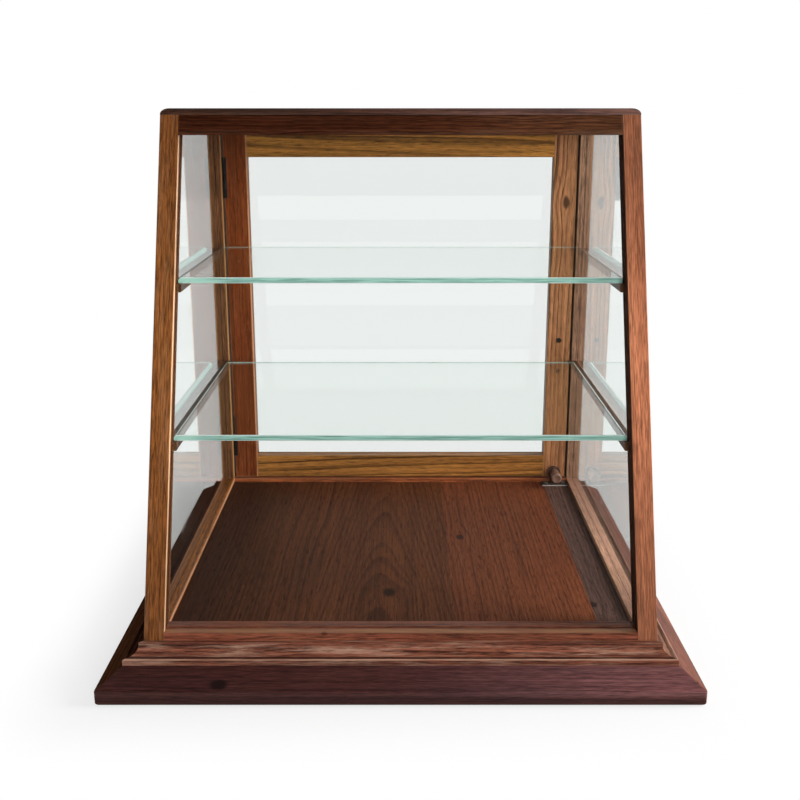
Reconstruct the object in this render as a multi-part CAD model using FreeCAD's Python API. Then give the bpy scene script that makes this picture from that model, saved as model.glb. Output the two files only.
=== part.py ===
import FreeCAD
import Part
import math
import os

# A slant-front display cabinet: a glazed wooden case on a moulded base, with two glass
# shelves and a glass door at the back. Millimetres, +Z up. The front faces -Y, and the
# origin is under the middle of the base.

# Case: outside sizes, and the sections of its frame members
case_width = 490.0
case_depth = 476.0
total_height = 537.0
front_lean = 200.0
frame_width = 19.0
front_thickness = 24.0
post_depth = 24.5
bottom_rail_rise = 6.4
top_rail_height = 20.0
top_thickness = 6.5
top_round = 6.0
arris = 0.6

# Base: bevelled plinth boards, and a coved moulding that stands on them
plinth_height = 29.0
plinth_edge = 14.5
plinth_run = 22.5
plinth_reach = 40.0
plinth_foot_round = 1.5
plinth_arris_round = 2.5
moulding_height = 17.0
moulding_run = 17.0
fillet_run = 4.0
fillet_drop = 2.5
bead_run = 4.5
bead_height = 6.0
bead_round = 2.0

# Floor boards: equal wide planks, and a narrow strip that makes up the width
floor_drop = 5.2
wide_planks = 3
strip_width = 32.0

# Panes and their grooves
glass = 3.0
glass_gap = 0.2
pane_slack = 0.5
groove_depth = 6.0
front_glass_depth = 10.5
side_glass_inset = 8.0

# Shelves, and the ledges under their ends
shelf_thickness = 6.0
shelf_chamfer = 0.5
lower_shelf_top = 223.0
upper_shelf_top = 371.0
shelf_front_gap = 3.0
shelf_end_gap = 0.8
shelf_back_gap = 34.5
ledge_bearing = 4.0
ledge_height = 8.0
ledge_glass_gap = 0.8

# Door, and the beads that hold its pane
door_thickness = 20.0
door_side_gap = 1.7
door_end_gap = 1.3
door_stile_width = 30.0
door_rail_width = 30.0
rebate = 7.0
glazing_thickness = 5.0
glazing_chamfer = 2.0

# Butt hinges
hinge_length = 51.0
leaf = 1.5
leaf_width = 19.0
leaf_gap = 0.1
knuckles = 3
knuckle_gap = 0.2
knuckle_radius = 2.8
knuckle_clearance = 0.6
pin_radius = 1.4
pin_clearance = 0.05
screws_per_leaf = 2

# Wood screws: countersunk in the hinges, with raised heads elsewhere
sunk_head_radius = 2.6
raised_head_radius = 3.0
raised_head_height = 2.0
screw_radius = 1.3
screw_length = 12.0
screw_clearance = 0.05

# Turned knob, and the screw that holds it through the stile
knob_drop = 38.0
knob_stem_radius = 5.5
knob_stem_length = 8.0
knob_radius = 11.0
knob_head_length = 11.0
knob_chamfer = 2.5
knob_screw_grip = 12.0

# Barrel magnet catch on the floor, and its strike on the door
catch_width = 34.0
catch_depth = 16.0
catch_plate = 1.2
catch_edge_gap = 0.5
barrel_radius = 6.5
barrel_length = 34.0
barrel_height = 15.3
ring_wall = 1.6
ring_length = 7.0
pedestal_width = 8.0
catch_screw_inset = 5.3
strike_radius = 7.5
strike_thickness = 1.2
strike_gap = 0.3

# Levels and planes that the pieces share
half_width = case_width / 2
back_y = case_depth / 2
front_y = -case_depth / 2
inner_x = half_width - frame_width
post_front = back_y - post_depth
base_top = plinth_height + moulding_height
rail_top = base_top + bottom_rail_rise
top_under = total_height - top_thickness
rail_under = top_under - top_rail_height
floor_top = rail_top - floor_drop
side_glass_x = inner_x + side_glass_inset
lean = math.atan2(front_lean, top_under - base_top)

ACROSS = FreeCAD.Vector(1, 0, 0)
BACK = FreeCAD.Vector(0, 1, 0)
UP = FreeCAD.Vector(0, 0, 1)
ALONG_LEAN = FreeCAD.Vector(0, math.sin(lean), math.cos(lean))
NO_LENGTH = 1e-6

os.makedirs("parts", exist_ok=True)


def save(name, shape):
    shape.exportStep("parts/" + name + ".step")


def save_pair(name, right_shape):
    """Save a right-hand piece and its mirror image on the left."""
    save(name.format("right"), right_shape)
    save(name.format("left"), right_shape.mirror(FreeCAD.Vector(), ACROSS))


def block(x0, x1, y0, y1, z0, z1):
    return Part.makeBox(x1 - x0, y1 - y0, z1 - z0, FreeCAD.Vector(x0, y0, z0))


def side_prism(outline, x0, x1):
    """A prism across the case, from an outline of (y, z) points."""
    points = [FreeCAD.Vector(x0, y, z) for y, z in outline]
    face = Part.Face(Part.makePolygon(points + points[:1]))
    return face.extrude(ACROSS * (x1 - x0))


def eased(solid, along):
    """The solid with the arrises that run along one direction broken by a small chamfer."""
    def runs_along(edge):
        return edge.tangentAt(edge.FirstParameter).cross(along).Length < NO_LENGTH
    return solid.makeChamfer(arris, [edge for edge in solid.Edges if runs_along(edge)])


def rounded_face(corners, place):
    """A face from (u, v, radius) corners, each rounded by its radius. place maps (u, v) to space."""
    points = [FreeCAD.Vector(u, v, 0) for u, v, radius in corners]
    arcs = []
    for i, (u, v, radius) in enumerate(corners):
        before = (points[i - 1] - points[i]).normalize()
        after = (points[(i + 1) % len(points)] - points[i]).normalize()
        half_angle = before.getAngle(after) / 2
        inward = (before + after).normalize()
        tangent = radius / math.tan(half_angle)
        middle = points[i] + inward * (radius / math.sin(half_angle) - radius)
        arcs.append((points[i] + before * tangent, middle, points[i] + after * tangent))
    edges = []
    for i, (start, middle, end) in enumerate(arcs):
        following = arcs[(i + 1) % len(arcs)][0]
        if (end - start).Length > NO_LENGTH:
            edges.append(Part.Arc(place(start), place(middle), place(end)).toShape())
        if (following - end).Length > NO_LENGTH:
            edges.append(Part.LineSegment(place(end), place(following)).toShape())
    return Part.Face(Part.Wire(edges))


def front_at(z, depth=0.0):
    """Y at height z of the plane that lies depth behind the leaning front face."""
    return front_y + (z - base_top) * math.tan(lean) + depth / math.cos(lean)


def lean_point(depth, rise):
    """(y, z) of the point depth behind the front face and rise up along it from the base top."""
    y = front_y + rise * math.sin(lean) + depth * math.cos(lean)
    return y, base_top + rise * math.cos(lean) - depth * math.sin(lean)


def rise_at(z, depth):
    """How far up along the front a point lies that is depth behind it, at height z."""
    return (z - base_top + depth * math.sin(lean)) / math.cos(lean)


def lean_slab(depth0, depth1, rise0, rise1, half_span):
    corners = [(depth0, rise0), (depth1, rise0), (depth1, rise1), (depth0, rise1)]
    return side_prism([lean_point(depth, rise) for depth, rise in corners], -half_span, half_span)


# Base: each board is its profile run along one side of the case and cut to a mitre at both ends
base_run = moulding_run + plinth_run
cove_radius = min(moulding_height - fillet_drop - bead_height, moulding_run - fillet_run - bead_run)
bead_top = plinth_height + bead_height
moulding_foot_lean = moulding_height * math.tan(lean)

plinth_profile = [
    (-plinth_reach, 0, 0),
    (base_run, 0, plinth_foot_round),
    (base_run, plinth_edge, plinth_arris_round),
    (moulding_run, plinth_height, 0),
    (-plinth_reach, plinth_height, 0),
]


def moulding_profile(foot):
    """The moulding's section. Its back leans out by foot at the bottom, to lie on the case."""
    return [
        (foot, plinth_height, 0),
        (moulding_run, plinth_height, 0),
        (moulding_run, bead_top, bead_round),
        (fillet_run, bead_top, cove_radius),
        (fillet_run, base_top, arris),
        (0, base_top, 0),
    ]


def mitred_run(profile, outward, half_out, half_along):
    """A board of one profile along one side, mitred where it meets the two beside it."""
    along = UP.cross(outward)
    end = half_along + base_run

    def place(point):
        return outward * (half_out + point.x) + UP * point.y - along * end

    run = rounded_face(profile, place).extrude(along * (2 * end))
    plan = [
        outward * (half_out + base_run) - along * end,
        outward * (half_out + base_run) + along * end,
        outward * (half_out - plinth_reach) + along * (half_along - plinth_reach),
        outward * (half_out - plinth_reach) - along * (half_along - plinth_reach),
    ]
    wedge = Part.Face(Part.makePolygon(plan + plan[:1])).extrude(UP * base_top)
    return run.common(wedge).Solids[0]


for side, outward, half_out, half_along, foot in (
        ("front", -BACK, back_y, half_width, moulding_foot_lean),
        ("back", BACK, back_y, half_width, 0),
        ("left", -ACROSS, half_width, back_y, 0),
        ("right", ACROSS, half_width, back_y, 0)):
    save("plinth_" + side, mitred_run(plinth_profile, outward, half_out, half_along))
    save("moulding_" + side, mitred_run(moulding_profile(foot), outward, half_out, half_along))

# Spaces for the panes, cut from every frame member that they reach into
pane_middle = front_glass_depth + glass / 2
front_pane_foot = rise_at(rail_top, pane_middle) - groove_depth
front_pane_head = rise_at(rail_under, pane_middle) + groove_depth
front_groove = lean_slab(front_glass_depth - glass_gap, front_glass_depth + glass + glass_gap,
                         front_pane_foot, front_pane_head, inner_x + groove_depth)


def side_pane(slack, margin):
    """The side pane's outline, smaller by slack above and at its ends, and thicker by margin."""
    foot = rail_top - groove_depth
    head = rail_under + groove_depth - slack
    depth = front_thickness - groove_depth + slack
    outline = [
        (front_at(foot, depth), foot),
        (post_front + groove_depth - slack, foot),
        (post_front + groove_depth - slack, head),
        (front_at(head, depth), head),
    ]
    return side_prism(outline, side_glass_x - margin, side_glass_x + glass + margin)


side_groove = side_pane(0, glass_gap)

# Leaning front frame: the stiles run through, and the rails stand between them
front_stile = eased(side_prism([
    (front_at(plinth_height), plinth_height),
    (front_at(plinth_height, front_thickness), plinth_height),
    (front_at(top_under, front_thickness), top_under),
    (front_at(top_under), top_under),
], inner_x, half_width), ALONG_LEAN)
save_pair("front_{}_stile", front_stile.cut([front_groove, side_groove]))

front_bottom_rail = eased(side_prism([
    (front_at(plinth_height), plinth_height),
    (front_at(rail_top, front_thickness), plinth_height),
    (front_at(rail_top, front_thickness), rail_top),
    (front_at(rail_top), rail_top),
], -inner_x, inner_x), ACROSS)
save("front_bottom_rail", front_bottom_rail.cut(front_groove))

front_top_rail = eased(side_prism([
    (front_at(rail_under), rail_under),
    (front_at(rail_under, front_thickness), rail_under),
    (front_at(top_under, front_thickness), top_under),
    (front_at(top_under), top_under),
], -inner_x, inner_x), ACROSS)
save("front_top_rail", front_top_rail.cut(front_groove))

# Sides: rails from the front stile to the rear post
for name, low, high in (("bottom", plinth_height, rail_top), ("top", rail_under, top_under)):
    side_rail = eased(side_prism([
        (front_at(low, front_thickness), low),
        (post_front, low),
        (post_front, high),
        (front_at(high, front_thickness), high),
    ], inner_x, half_width), BACK)
    save_pair("{}_" + name + "_rail", side_rail.cut(side_groove))
    rear_rail = eased(block(-inner_x, inner_x, post_front, back_y, low, high), ACROSS)
    save("back_sill" if name == "bottom" else "back_top_rail", rear_rail)

# Top board, rounded over at the front and both ends
top_board = block(-half_width, half_width, front_at(top_under), back_y, top_under, total_height)


def is_top_edge(edge):
    middle = edge.CenterOfMass
    return middle.z > total_height - NO_LENGTH and middle.y < back_y - NO_LENGTH


save("top_board", top_board.makeFillet(top_round, [edge for edge in top_board.Edges if is_top_edge(edge)]))

# Panes of the front and the sides, standing on the floors of their grooves
save("front_glass", lean_slab(front_glass_depth, front_glass_depth + glass, front_pane_foot,
                              front_pane_head - pane_slack, inner_x + groove_depth - pane_slack))
save_pair("{}_glass", side_pane(pane_slack, 0))

# Shelves: loose panes with ground edges, each on two ledges that are notched round the front stiles
shelf_half = inner_x - shelf_end_gap
glass_back = front_glass_depth + glass
for name, shelf_top in (("lower", lower_shelf_top), ("upper", upper_shelf_top)):
    shelf_under = shelf_top - shelf_thickness
    shelf_front = front_at(shelf_top, glass_back) + shelf_front_gap
    shelf = block(-shelf_half, shelf_half, shelf_front, post_front - shelf_back_gap, shelf_under, shelf_top)
    save(name + "_shelf", shelf.makeChamfer(shelf_chamfer, shelf.Edges))
    ledge_foot = shelf_under - ledge_height
    ledge = eased(side_prism([
        (front_at(ledge_foot, glass_back + ledge_glass_gap), ledge_foot),
        (post_front, ledge_foot),
        (post_front, shelf_under),
        (front_at(shelf_under, glass_back + ledge_glass_gap), shelf_under),
    ], shelf_half - ledge_bearing, side_glass_x - ledge_glass_gap), BACK)
    stile_notch = side_prism([
        (front_at(ledge_foot), ledge_foot),
        (front_at(ledge_foot, front_thickness), ledge_foot),
        (front_at(shelf_under, front_thickness), shelf_under),
        (front_at(shelf_under), shelf_under),
    ], inner_x, half_width)
    save_pair(name + "_{}_ledge", ledge.cut(stile_notch))


def shank(point, into, length, clearance=0.0):
    """A screw's shank, or with a clearance the hole for it."""
    return Part.makeCylinder(screw_radius + clearance, length + clearance, point, into)


def sunk_screw(point, into, clearance=0.0):
    """A screw with its flat head level with point, sunk in a hinge leaf."""
    head = Part.makeCone(sunk_head_radius + clearance, screw_radius + clearance, leaf, point, into)
    return head.fuse(shank(point, into, screw_length, clearance)).removeSplitter()


def raised_screw(point, into, length):
    """A screw whose head sits on the surface at point."""
    head = Part.makeCylinder(raised_head_radius, raised_head_height, point, -into)
    return head.fuse(shank(point, into, length))


# Door sizes, and where its hinges turn
door_half = inner_x - door_side_gap
door_front = back_y - door_thickness
door_foot = rail_top + door_end_gap
door_head = rail_under - door_end_gap
light_half = door_half - door_stile_width
light_foot = door_foot + door_rail_width
light_head = door_head - door_rail_width
door_glass_y = back_y - glazing_thickness - glass
pivot_x = -inner_x + leaf + leaf_gap / 2
pivot_y = back_y + knuckle_clearance + knuckle_radius
frame_leaf_face = pivot_x - leaf_gap / 2
door_leaf_face = pivot_x + leaf_gap / 2
hinge_feet = {"upper": light_head - hinge_length, "lower": light_foot}
leaf_inner = back_y - leaf_width
leaf_outer = pivot_y - knuckle_radius - knuckle_clearance / 2


def leaf_screw_points(x):
    """Where the screws of both hinges stand, on the face at x."""
    points = []
    for foot in hinge_feet.values():
        for i in range(screws_per_leaf):
            z = foot + hinge_length * (i + 0.5) / screws_per_leaf
            points.append(FreeCAD.Vector(x, (leaf_inner + back_y) / 2, z))
    return points


frame_screw_points = leaf_screw_points(frame_leaf_face)
door_screw_points = leaf_screw_points(door_leaf_face)
frame_screw_holes = [sunk_screw(point, -ACROSS, screw_clearance) for point in frame_screw_points]
door_screw_holes = [sunk_screw(point, ACROSS, screw_clearance) for point in door_screw_points]

# Rear posts: the left one takes the hinge screws
post = eased(block(inner_x, half_width, post_front, back_y, plinth_height, top_under), UP).cut(side_groove)
save("right_back_post", post)
save("left_back_post", post.mirror(FreeCAD.Vector(), ACROSS).cut(frame_screw_holes))

# Where the knob, the catch and the strike sit on the door
knob_x = door_half - door_stile_width / 2
knob_z = (door_foot + door_head) / 2 - knob_drop
catch_x = inner_x - catch_edge_gap - catch_width / 2
barrel_z = floor_top + barrel_height
knob_screw_point = FreeCAD.Vector(knob_x, door_front, knob_z)
knob_screw_length = door_thickness + knob_screw_grip
knob_screw_hole = shank(knob_screw_point, BACK, knob_screw_length, screw_clearance)
strike_seat = FreeCAD.Vector(catch_x, door_front, barrel_z)
strike_hole = shank(strike_seat, BACK, screw_length, screw_clearance)

# Door frame: rebated from behind for its pane
door_rebate = block(-light_half - rebate, light_half + rebate, door_glass_y, back_y,
                    light_foot - rebate, light_head + rebate)
hinge_notches = [block(-door_half, door_leaf_face + leaf, door_front, back_y, foot, foot + hinge_length)
                 for foot in hinge_feet.values()]
right_stile = eased(block(light_half, door_half, door_front, back_y, door_foot, door_head), UP)
left_stile = right_stile.mirror(FreeCAD.Vector(), ACROSS)
save("door_right_stile", right_stile.cut([door_rebate, knob_screw_hole, strike_hole]))
save("door_left_stile", left_stile.cut([door_rebate] + hinge_notches + door_screw_holes))
for name, low, high in (("bottom", door_foot, light_foot), ("top", light_head, door_head)):
    door_rail = eased(block(-light_half, light_half, door_front, back_y, low, high), ACROSS)
    save("door_" + name + "_rail", door_rail.cut(door_rebate))
save("door_glass", block(-light_half - rebate + pane_slack, light_half + rebate - pane_slack,
                         door_glass_y, door_glass_y + glass,
                         light_foot - rebate, light_head + rebate - pane_slack))

# Glazing beads, mitred round the pane, with their inner back arris chamfered
light_corners = [(-1, light_foot), (1, light_foot), (1, light_head), (-1, light_head)]
for i, name in enumerate(("bottom", "right", "top", "left")):
    outline = []
    for sign, z in (light_corners[i], light_corners[(i + 1) % len(light_corners)]):
        outward = -1 if z == light_foot else 1
        inner = FreeCAD.Vector(sign * light_half, door_glass_y + glass, z)
        outline.append((inner, inner + FreeCAD.Vector(sign * rebate, 0, outward * rebate)))
    points = [outline[0][0], outline[1][0], outline[1][1], outline[0][1]]
    bead = Part.Face(Part.makePolygon(points + points[:1])).extrude(BACK * glazing_thickness)
    sight_line = (outline[0][0] + outline[1][0]) / 2 + BACK * glazing_thickness
    sight_edges = [edge for edge in bead.Edges if (edge.CenterOfMass - sight_line).Length < NO_LENGTH]
    save("door_" + name + "_bead", bead.makeChamfer(glazing_chamfer, sight_edges))


def hinge_leaf(foot, x0, x1, own_knuckles):
    """A hinge leaf: its plate, and the knuckles that are rolled from it round the pin."""
    plate = block(x0, x1, leaf_inner, leaf_outer, foot, foot + hinge_length)
    pitch = (hinge_length + knuckle_gap) / knuckles
    rolls = []
    for i in own_knuckles:
        low = foot + i * pitch
        high = low + pitch - knuckle_gap
        rolls.append(block(x0, x1, leaf_outer, pivot_y, low, high))
        rolls.append(Part.makeCylinder(knuckle_radius, high - low, FreeCAD.Vector(pivot_x, pivot_y, low), UP))
    bore = Part.makeCylinder(pin_radius + pin_clearance, hinge_length, FreeCAD.Vector(pivot_x, pivot_y, foot), UP)
    return plate.fuse(rolls).cut(bore).removeSplitter()


# Hinges: the leaf on the post has the odd knuckles, and the leaf let into the door the even ones
for name, foot in hinge_feet.items():
    frame_leaf = hinge_leaf(foot, frame_leaf_face - leaf, frame_leaf_face, range(0, knuckles, 2))
    door_leaf = hinge_leaf(foot, door_leaf_face, door_leaf_face + leaf, range(1, knuckles, 2))
    save(name + "_hinge_frame_leaf", frame_leaf.cut(frame_screw_holes))
    save(name + "_hinge_door_leaf", door_leaf.cut(door_screw_holes))
    pin = Part.makeCylinder(pin_radius, hinge_length, FreeCAD.Vector(pivot_x, pivot_y, foot), UP)
    save(name + "_hinge_pin", pin)
save("hinge_frame_screws", Part.makeCompound([sunk_screw(point, -ACROSS) for point in frame_screw_points]))
save("hinge_door_screws", Part.makeCompound([sunk_screw(point, ACROSS) for point in door_screw_points]))

# Knob: turned, and held by a screw from inside the door
knob_length = knob_stem_length + knob_head_length
knob_outline = [
    (0, 0, 0),
    (knob_stem_radius, 0, 0),
    (knob_stem_radius, knob_stem_length, 0),
    (knob_radius, knob_stem_length, 0),
    (knob_radius, knob_length - knob_chamfer, 0),
    (knob_radius - knob_chamfer, knob_length, 0),
    (0, knob_length, 0),
]
knob_seat = FreeCAD.Vector(knob_x, back_y, knob_z)
knob_face = rounded_face(knob_outline, lambda point: knob_seat + ACROSS * point.x + BACK * point.y)
save("door_knob", knob_face.revolve(knob_seat, BACK, 360).cut(knob_screw_hole))
save("knob_screw", raised_screw(knob_screw_point, BACK, knob_screw_length))

# Catch: a plate with a ring that holds the magnet barrel, screwed to the floor beside the sill
catch_y0 = post_front - catch_depth
plate_top = floor_top + catch_plate
ring_start = FreeCAD.Vector(catch_x, post_front - ring_length, barrel_z)
catch_plate_block = block(catch_x - catch_width / 2, catch_x + catch_width / 2, catch_y0, post_front,
                          floor_top, plate_top)
pedestal = block(catch_x - pedestal_width / 2, catch_x + pedestal_width / 2,
                 post_front - ring_length, post_front, plate_top, barrel_z)
ring = Part.makeCylinder(barrel_radius + ring_wall, ring_length, ring_start, BACK)
ring_bore = Part.makeCylinder(barrel_radius + pin_clearance, ring_length, ring_start, BACK)
catch_screws = []
catch_screw_holes = []
for sign in (-1, 1):
    x = catch_x + sign * (catch_width / 2 - catch_screw_inset)
    seat = FreeCAD.Vector(x, (catch_y0 + post_front) / 2, plate_top)
    catch_screws.append(raised_screw(seat, -UP, screw_length))
    catch_screw_holes.append(shank(seat, -UP, screw_length, screw_clearance))
catch_holder = catch_plate_block.fuse([pedestal, ring]).cut([ring_bore] + catch_screw_holes)
save("catch_holder", catch_holder.removeSplitter())
save("catch_screws", Part.makeCompound(catch_screws))

barrel_end = door_front - strike_thickness - strike_gap
save("catch_barrel", Part.makeCylinder(barrel_radius, barrel_length,
                                      FreeCAD.Vector(catch_x, barrel_end - barrel_length, barrel_z), BACK))

# Strike: a steel disc with a shank that is driven into the door
strike = Part.makeCylinder(strike_radius, strike_thickness, strike_seat, -BACK)
save("strike_disc", strike.fuse(shank(strike_seat, BACK, screw_length)))

# Floor boards, resting on the plinth and drilled for the catch
floor_front = front_at(rail_top, front_thickness)
plank_width = (2 * inner_x - strip_width) / wide_planks
seams = [-inner_x + i * plank_width for i in range(wide_planks + 1)] + [inner_x]
for i in range(len(seams) - 1):
    plank = block(seams[i], seams[i + 1], floor_front, post_front, plinth_height, floor_top)
    save("floor_board_" + str(i + 1), plank.cut(catch_screw_holes))
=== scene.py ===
import math

import bmesh
import bpy
from mathutils import Matrix, Vector


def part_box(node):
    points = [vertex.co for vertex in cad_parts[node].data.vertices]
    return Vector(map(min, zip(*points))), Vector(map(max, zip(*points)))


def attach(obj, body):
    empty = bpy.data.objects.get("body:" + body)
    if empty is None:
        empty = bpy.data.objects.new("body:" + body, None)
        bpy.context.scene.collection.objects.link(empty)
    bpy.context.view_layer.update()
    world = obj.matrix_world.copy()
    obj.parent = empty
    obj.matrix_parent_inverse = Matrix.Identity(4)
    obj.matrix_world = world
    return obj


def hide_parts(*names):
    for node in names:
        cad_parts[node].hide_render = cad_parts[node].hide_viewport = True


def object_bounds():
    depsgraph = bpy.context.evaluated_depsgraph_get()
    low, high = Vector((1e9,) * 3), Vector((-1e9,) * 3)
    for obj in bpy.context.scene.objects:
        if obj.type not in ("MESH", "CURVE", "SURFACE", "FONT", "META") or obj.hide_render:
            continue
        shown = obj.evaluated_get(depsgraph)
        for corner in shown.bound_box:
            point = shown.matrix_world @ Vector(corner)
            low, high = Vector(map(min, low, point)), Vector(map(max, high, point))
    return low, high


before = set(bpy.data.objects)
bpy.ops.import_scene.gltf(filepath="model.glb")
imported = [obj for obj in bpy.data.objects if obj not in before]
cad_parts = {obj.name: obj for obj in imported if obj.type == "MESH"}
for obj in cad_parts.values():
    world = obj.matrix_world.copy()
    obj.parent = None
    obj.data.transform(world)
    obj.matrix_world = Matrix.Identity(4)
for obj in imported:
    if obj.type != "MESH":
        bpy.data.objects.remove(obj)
cad_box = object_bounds()

# Plinth: four boards of old softwood under a dark purplish wax, bevelled on top and mitred at the corners.
# The grain runs along each board, a dead knot sits in the front one, and corners and foot are worn round.
right, back, up = Vector((1, 0, 0)), Vector((0, 1, 0)), Vector((0, 0, 1))


def tone(code):
    """A colour written as it shows on screen, as the linear colour that a shader takes."""
    shares = [byte / 255 for byte in bytes.fromhex(code)]
    return (*(share / 12.92 if share <= 0.04045 else ((share + 0.055) / 1.055) ** 2.4 for share in shares), 1)


def shade(tree, kind, inputs=None, **settings):
    """Add a shader node; each input is a value, or the output of another node that it is joined to."""
    made = tree.nodes.new("ShaderNode" + kind)
    for name, value in settings.items():
        setattr(made, name, value)
    for name, value in (inputs or {}).items():
        if isinstance(value, bpy.types.NodeSocket):
            tree.links.new(value, made.inputs[name])
        else:
            made.inputs[name].default_value = value
    return made


def maths(tree, operation, *values):
    """Work on numbers."""
    return shade(tree, "Math", dict(enumerate(values)), operation=operation).outputs[0]


def steps(tree, operation, *values):
    """Work on places instead of numbers; a length comes out as a number."""
    made = shade(tree, "VectorMath", dict(enumerate(values)), operation=operation)
    return made.outputs["Value" if operation == "LENGTH" else "Vector"]


def ramp(tree, value, start, end, low=0.0, high=1.0):
    """Ease a value from low at start to high at end."""
    sockets = {"Value": value, "From Min": start, "From Max": end, "To Min": low, "To Max": high}
    return shade(tree, "MapRange", sockets, interpolation_type="SMOOTHSTEP").outputs[0]


def mixed(tree, share, first, second, way="MIX"):
    """Lay a share of the second colour over the first."""
    return shade(tree, "Mix", {0: share, 6: first, 7: second}, data_type="RGBA", blend_type=way).outputs[2]


def noise(tree, place, stretch, detail, roughness=0.5):
    """Noise whose cells are stretched: stretch gives the cells in a metre along each axis."""
    spread = steps(tree, "MULTIPLY", place, stretch)
    return shade(tree, "TexNoise", {"Vector": spread, "Scale": 1, "Detail": detail, "Roughness": roughness})


def effect(name, takes, gives):
    """Start a shared shader effect and return its tree, its input node and its output node."""
    tree = bpy.data.node_groups.new(name, "ShaderNodeTree")
    for socket, kind, value in takes:
        made = tree.interface.new_socket(socket, in_out="INPUT", socket_type="NodeSocket" + kind)
        made.default_value = value
    for socket, kind in gives:
        tree.interface.new_socket(socket, in_out="OUTPUT", socket_type="NodeSocket" + kind)
    return tree, tree.nodes.new("NodeGroupInput").outputs, tree.nodes.new("NodeGroupOutput").inputs


# The grain of a sawn board: rings about a pith that lies beside or under the board, cut by its faces.
# X runs along the grain and Z out of the show face, in metres from the middle of the board.
grain, takes, gives = effect(
    "board_grain",
    [("Board", "Vector", (0, 0, 0)), ("Half Size", "Vector", (1, 1, 1)),
     ("Early Wood", "Color", (0.3, 0.15, 0.08, 1)), ("Late Wood", "Color", (0.1, 0.05, 0.03, 1)),
     ("Cast", "Color", (0.2, 0.1, 0.05, 1)), ("Pore And Shade", "Color", (0.03, 0.015, 0.01, 1)),
     ("Wear And Highlight", "Color", (0.4, 0.25, 0.18, 1)), ("Wear Amount", "Float", 0), ("Edge Wear And Highlight", "Float", 0.25),
     ("Shade Side", "Float", 0), ("Side Shade Amount", "Float", 0.6), ("Gloss", "Float", 0.25),
     ("Ring Width", "Float", 0.004), ("Figure", "Float", 0.6), ("Streak", "Float", 0.4),
     ("Fibre", "Float", 0.3), ("Dashes", "Float", 0.4), ("Dash Cells", "Vector", (50, 460, 460)),
     ("Wander", "Float", 0.006),
     ("Sweep", "Float", 3), ("Taper", "Float", 0.02), ("Trunk", "Vector", (0, 0.02, 0.05)),
     ("Knot", "Vector", (0, 0, 0)), ("Knot Radius", "Float", 0), ("Patch Gain", "Float", 0),
     ("Patch Tint", "Vector", (1, 1, 1)), ("Patch Place", "Vector", (0, 0, 0)),
     ("Patch Size", "Vector", (1, 1, 1)),
     ("Dark Line", "Vector", (0, 0, 0)), ("Dark Radius", "Float", 0), ("Dark Amount", "Float", 0.85),
     ("Highlight Line", "Vector", (0, 0, 0)), ("Highlight Radius", "Float", 0)],
    [("Color", "Color"), ("Roughness", "Float"), ("Height", "Float")])
scuff_cells, cloud_cells = (14, 170, 170), (4, 26, 26)
fibre_cells, streak_cells = (60, 1100, 1100), (6, 420, 420)
drift_cells, ring_cells, ring_drift = 14, (140, 1.5, 1), 1.6
knot_form, knot_wobble, knot_darkness = (0.6, 1, 0.3), 1.2, 0.85
parting_fall, parting_amount = -0.1, 0.75
never_zero = 0.00001
board = takes["Board"]
along_board, across_board = shade(grain, "SeparateXYZ", {0: board}).outputs[:2]
trunk = steps(grain, "ADD", board, takes["Trunk"])
scuff = noise(grain, trunk, scuff_cells, 5, 0.7).outputs[0]

from_knot = steps(grain, "SUBTRACT", board, takes["Knot"])
to_knot = steps(grain, "LENGTH", steps(grain, "MULTIPLY", from_knot, knot_form))
to_knot = maths(grain, "DIVIDE", to_knot, maths(grain, "ADD", takes["Knot Radius"], never_zero))
to_knot = maths(grain, "MULTIPLY_ADD", scuff, knot_wobble, maths(grain, "SUBTRACT", to_knot, knot_wobble / 2))
knot = ramp(grain, to_knot, 1.2, 0.5)
parting = maths(grain, "EXPONENT", maths(grain, "MULTIPLY", maths(grain, "POWER", to_knot, 2), parting_fall))
parting = shade(grain, "CombineXYZ", {1: maths(grain, "MULTIPLY", parting, parting_amount)}).outputs[0]
parted = steps(grain, "SUBTRACT", trunk, steps(grain, "MULTIPLY", from_knot, parting))

swing = shade(grain, "CombineXYZ", {0: takes["Sweep"], 1: drift_cells, 2: drift_cells}).outputs[0]
drift = noise(grain, trunk, swing, 2).outputs["Color"]
drift = steps(grain, "MULTIPLY", steps(grain, "SUBTRACT", drift, (0.5, 0.5, 0.5)), takes["Wander"])
from_pith = steps(grain, "MULTIPLY", steps(grain, "ADD", parted, drift), (0, 1, 1))
reach = maths(grain, "MULTIPLY_ADD", along_board, takes["Taper"], steps(grain, "LENGTH", from_pith))

beside = shade(grain, "CombineXYZ", {0: reach, 1: along_board, 2: 0}).outputs[0]
rings = maths(grain, "DIVIDE", reach, takes["Ring Width"])
rings = maths(grain, "MULTIPLY_ADD", noise(grain, beside, ring_cells, 1).outputs[0], ring_drift, rings)
through_ring = maths(grain, "FRACT", rings)
late = maths(grain, "MULTIPLY", ramp(grain, through_ring, 0.4, 0.9), ramp(grain, through_ring, 1, 0.94))
ring_number = maths(grain, "FLOOR", rings)
ring_strength = shade(grain, "TexWhiteNoise", {"W": ring_number}, noise_dimensions="1D").outputs["Value"]
late = maths(grain, "MULTIPLY", late, maths(grain, "MULTIPLY_ADD", ring_strength, 0.7, 0.3))

fibre = noise(grain, trunk, fibre_cells, 3, 0.6).outputs[0]
streak = noise(grain, trunk, streak_cells, 4, 0.65).outputs[0]
dashes = ramp(grain, noise(grain, trunk, takes["Dash Cells"], 2, 0.6).outputs[0], 0.54, 0.68)
cloud = ramp(grain, noise(grain, trunk, cloud_cells, 3, 0.6).outputs[0], 0.3, 0.7)
worn = maths(grain, "MULTIPLY", ramp(grain, scuff, 0.46, 0.7), takes["Wear Amount"])

# Arrises are drawn pale as wear, which also stands in for the highlights that they catch.
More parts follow.
